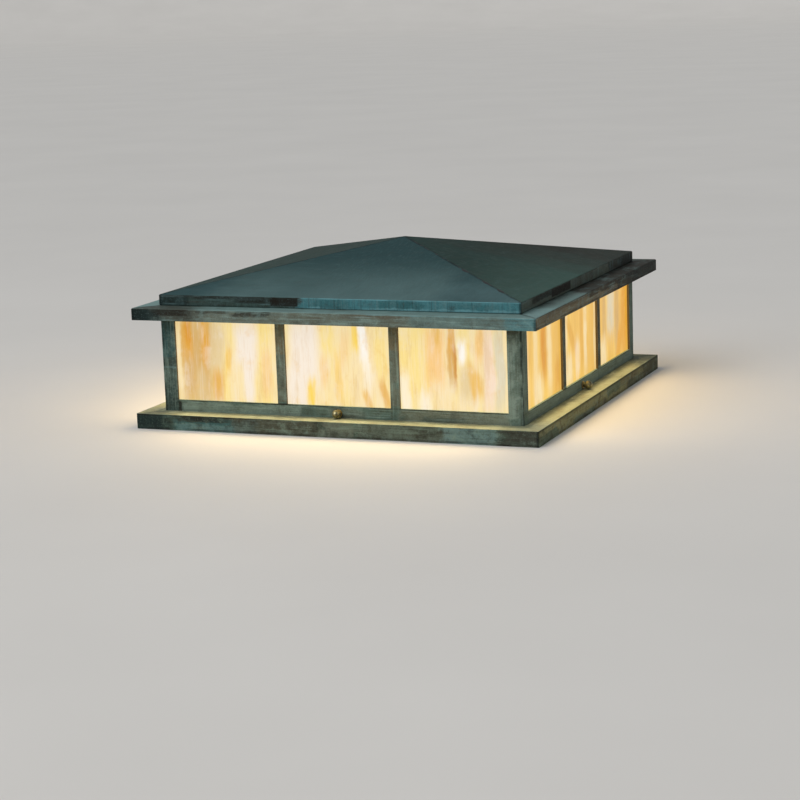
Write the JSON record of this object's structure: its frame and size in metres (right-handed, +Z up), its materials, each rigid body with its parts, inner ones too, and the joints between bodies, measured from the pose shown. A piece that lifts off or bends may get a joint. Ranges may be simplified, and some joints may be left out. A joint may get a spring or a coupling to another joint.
{
  "type": "pier mount light",
  "caption": "Low square pier mount lantern with a hipped roof, wide cornice, art-glass panes and a lift-off body held by side thumb screws on a flat base.",
  "frame": {"origin": "centre of the underside of the base, on the pier's top face", "axes": "+Z up, front towards -Y, sides along X and Y"},
  "size_m": [0.61, 0.61, 0.2456],
  "materials": {
    "base_patina": "verdigris patina, matt",
    "frame_patina": "verdigris patina, matt",
    "roof_patina": "verdigris patina, matt",
    "art_glass": "streaky amber and white opalescent sheet",
    "bare_brass": "satin",
    "knob_brass": "aged satin",
    "zinc_steel": "zinc plated",
    "white_enamel": "satin white",
    "porcelain": "glazed",
    "opal_glass": "opal, lit",
    "lamp_shell": "plain",
    "black_rubber": "matt",
    "lead_insulation": "matt",
    "terminal_plastic": "matt",
    "green_enamel": "satin"
  },
  "bodies": {
    "base": {"base_plate": "base_patina", "base_skirt": "base_patina", "anchor_spacers": "zinc_steel", "curb_angles": "bare_brass", "screw_nuts": "bare_brass", "wiring_bushing": "black_rubber", "wiring_cover": "white_enamel", "cover_screws": "zinc_steel", "lampholders": "porcelain", "lamp_leads": "lead_insulation", "terminal_block": "terminal_plastic", "earth_screw": "green_enamel"},
    "lantern": {"corner_post_front_right": "frame_patina", "corner_post_back_right": "frame_patina", "corner_post_back_left": "frame_patina", "corner_post_front_left": "frame_patina", "sill_rail_front": "frame_patina", "cornice_front": "roof_patina", "roof_panel_front": "roof_patina", "glass_front_left": "art_glass", "glass_front_centre": "art_glass", "glass_front_right": "art_glass", "sill_rail_right": "frame_patina", "cornice_right": "roof_patina", "roof_panel_right": "roof_patina", "glass_right_left": "art_glass", "glass_right_centre": "art_glass", "glass_right_right": "art_glass", "sill_rail_back": "frame_patina", "cornice_back": "roof_patina", "roof_panel_back": "roof_patina", "glass_back_left": "art_glass", "glass_back_centre": "art_glass", "glass_back_right": "art_glass", "sill_rail_left": "frame_patina", "cornice_left": "roof_patina", "roof_panel_left": "roof_patina", "glass_left_left": "art_glass", "glass_left_centre": "art_glass", "glass_left_right": "art_glass", "head_rails": "frame_patina", "muntins": "frame_patina", "glass_clips": "bare_brass", "roof_rivets": "bare_brass"},
    "lamp_1": {"lamp_base_1": "lamp_shell", "lamp_globe_1": "opal_glass"},
    "lamp_2": {"lamp_base_2": "lamp_shell", "lamp_globe_2": "opal_glass"},
    "lamp_3": {"lamp_base_3": "lamp_shell", "lamp_globe_3": "opal_glass"},
    "lamp_4": {"lamp_base_4": "lamp_shell", "lamp_globe_4": "opal_glass"},
    "washer_front": {"screw_washer_front": "bare_brass"},
    "screw_front": {"thumb_screw_front": "knob_brass"},
    "washer_right": {"screw_washer_right": "bare_brass"},
    "screw_right": {"thumb_screw_right": "knob_brass"},
    "washer_back": {"screw_washer_back": "bare_brass"},
    "screw_back": {"thumb_screw_back": "knob_brass"},
    "washer_left": {"screw_washer_left": "bare_brass"},
    "screw_left": {"thumb_screw_left": "knob_brass"}
  },
  "joints": [
    {"name": "lantern_lift", "type": "slide", "parent": "base", "child": "lantern", "axis": [0, 0, 1], "range_m": [0, 0.2]},
    {"name": "lamp_1_unscrew", "type": "hinge", "parent": "base", "child": "lamp_1", "pos_m": [-0.105, -0.105, 0.084], "axis": [0, 0, 1], "range_deg": [0, 1080]},
    {"name": "lamp_2_unscrew", "type": "hinge", "parent": "base", "child": "lamp_2", "pos_m": [-0.105, 0.105, 0.084], "axis": [0, 0, 1], "range_deg": [0, 1080]},
    {"name": "lamp_3_unscrew", "type": "hinge", "parent": "base", "child": "lamp_3", "pos_m": [0.105, -0.105, 0.084], "axis": [0, 0, 1], "range_deg": [0, 1080]},
    {"name": "lamp_4_unscrew", "type": "hinge", "parent": "base", "child": "lamp_4", "pos_m": [0.105, 0.105, 0.084], "axis": [0, 0, 1], "range_deg": [0, 1080]},
    {"name": "screw_front_advance", "type": "slide", "parent": "base", "child": "washer_front", "axis": [0, -1, 0], "range_m": [0, 0.0048]},
    {"name": "screw_front_turn", "type": "hinge", "parent": "washer_front", "child": "screw_front", "pos_m": [0, -0.2745, 0.0288], "axis": [0, -1, 0], "range_deg": [0, 2160]},
    {"name": "screw_right_advance", "type": "slide", "parent": "base", "child": "washer_right", "axis": [1, 0, 0], "range_m": [0, 0.0048]},
    {"name": "screw_right_turn", "type": "hinge", "parent": "washer_right", "child": "screw_right", "pos_m": [0.2745, 0, 0.0288], "axis": [1, 0, 0], "range_deg": [0, 2160]},
    {"name": "screw_back_advance", "type": "slide", "parent": "base", "child": "washer_back", "axis": [0, 1, 0], "range_m": [0, 0.0048]},
    {"name": "screw_back_turn", "type": "hinge", "parent": "washer_back", "child": "screw_back", "pos_m": [0, 0.2745, 0.0288], "axis": [0, 1, 0], "range_deg": [0, 2160]},
    {"name": "screw_left_advance", "type": "slide", "parent": "base", "child": "washer_left", "axis": [-1, 0, 0], "range_m": [0, 0.0048]},
    {"name": "screw_left_turn", "type": "hinge", "parent": "washer_left", "child": "screw_left", "pos_m": [-0.2745, 0, 0.0288], "axis": [-1, 0, 0], "range_deg": [0, 2160]}
  ],
  "couplings": [
    {"joint": "screw_front_turn", "follows": "screw_front_advance", "rad_per_m": 7854},
    {"joint": "screw_right_turn", "follows": "screw_right_advance", "rad_per_m": 7854},
    {"joint": "screw_back_turn", "follows": "screw_back_advance", "rad_per_m": 7854},
    {"joint": "screw_left_turn", "follows": "screw_left_advance", "rad_per_m": 7854}
  ]
}
